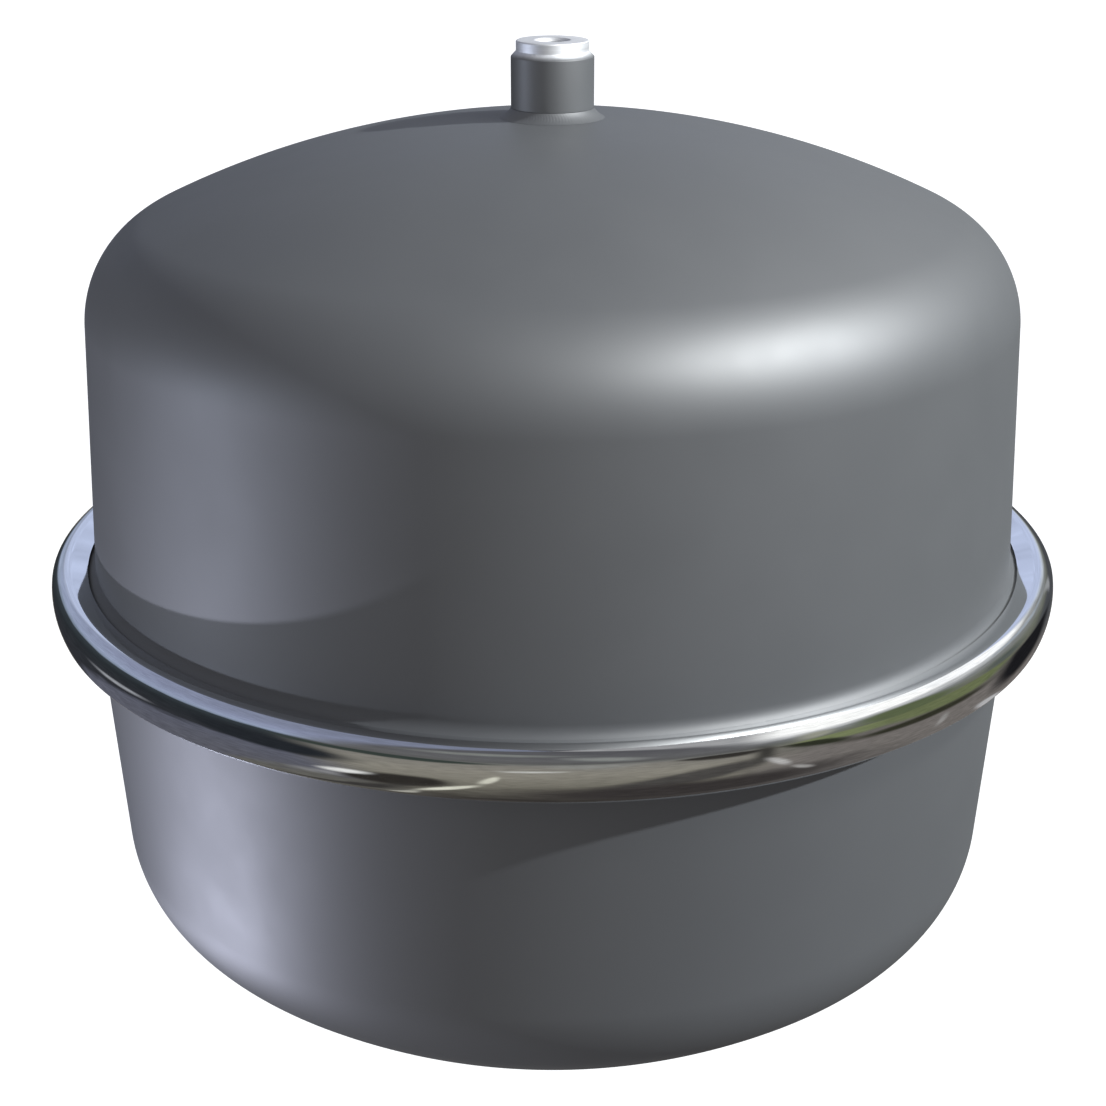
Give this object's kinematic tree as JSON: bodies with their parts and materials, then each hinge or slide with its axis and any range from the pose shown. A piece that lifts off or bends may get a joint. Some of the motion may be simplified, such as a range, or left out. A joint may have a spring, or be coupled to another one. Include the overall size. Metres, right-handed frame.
{
  "type": "expansion tank",
  "caption": "Round diaphragm expansion tank with a bright clamp ring, a threaded-size water connection on top and a capped gas valve below.",
  "frame": {"origin": "on the tank's axis, at the upper end of the water connection's full diameter", "axes": "+Z along the tank's axis, out of the water connection; X and Y are any two level directions, because the tank is round"},
  "size_m": [0.3366, 0.3366, 0.3573],
  "materials": {
    "shell_paint": "satin grey paint",
    "bright_chrome": "bright plated",
    "rubber": "matte",
    "brass": "turned",
    "spring_steel": "drawn wire",
    "cap_plastic": "moulded"
  },
  "bodies": {
    "tank": {"upper_shell": "shell_paint", "lower_shell": "shell_paint", "diaphragm": "rubber", "clamp_ring": "bright_chrome", "connection_nipple": "shell_paint", "nipple_weld": "shell_paint", "valve_boss": "shell_paint", "valve_boss_weld": "shell_paint", "valve_body": "brass", "valve_seal": "rubber", "core_head": "brass", "core_barrel": "brass", "core_gasket": "rubber", "core_spring": "spring_steel"},
    "valve_pin": {"core_pin": "brass", "core_cup": "brass", "core_washer": "rubber"},
    "cap": {"valve_cap": "cap_plastic", "cap_seal": "rubber"}
  },
  "joints": [
    {"name": "pin_press", "type": "slide", "parent": "tank", "child": "valve_pin", "axis": [0, 0, 1], "range_m": [0, 0.0012], "stiffness_N_per_m": 400, "springref_m": -0.001, "deforming": ["core_spring"]},
    {"name": "cap_off", "type": "slide", "parent": "tank", "child": "cap", "axis": [0, 0, -1], "range_m": [0, 0.04]}
  ]
}
